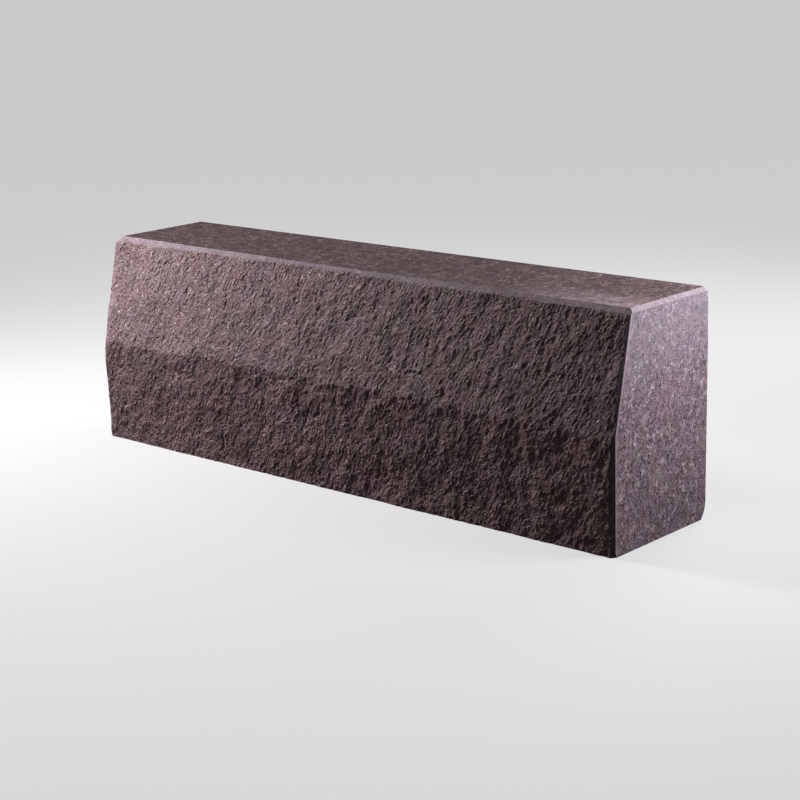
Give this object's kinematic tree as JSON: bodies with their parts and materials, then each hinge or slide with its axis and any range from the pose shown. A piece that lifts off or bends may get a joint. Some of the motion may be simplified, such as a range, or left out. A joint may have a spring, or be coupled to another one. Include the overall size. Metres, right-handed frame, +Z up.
{
  "type": "granite kerb stone",
  "caption": "Solid granite kerb stone with a chamfered sawn top and sawn ends, and a split street face that leans back above a hewn arris and stands nearly upright below it.",
  "frame": {"origin": "centre of the bed: under the middle of the piece's box, on the surface it stands on", "axes": "+X along the kerb from the left to the right sawn end as the street sees it, +Y from the street face to the back, +Z up"},
  "size_m": [0.768, 0.171, 0.25],
  "materials": {
    "granite": "reddish-purple grey granite; street face split and pointed, top finely flamed, ends and back sawn and bush-hammered"
  },
  "bodies": {
    "root": {"kerb_stone": "granite"}
  },
  "joints": []
}
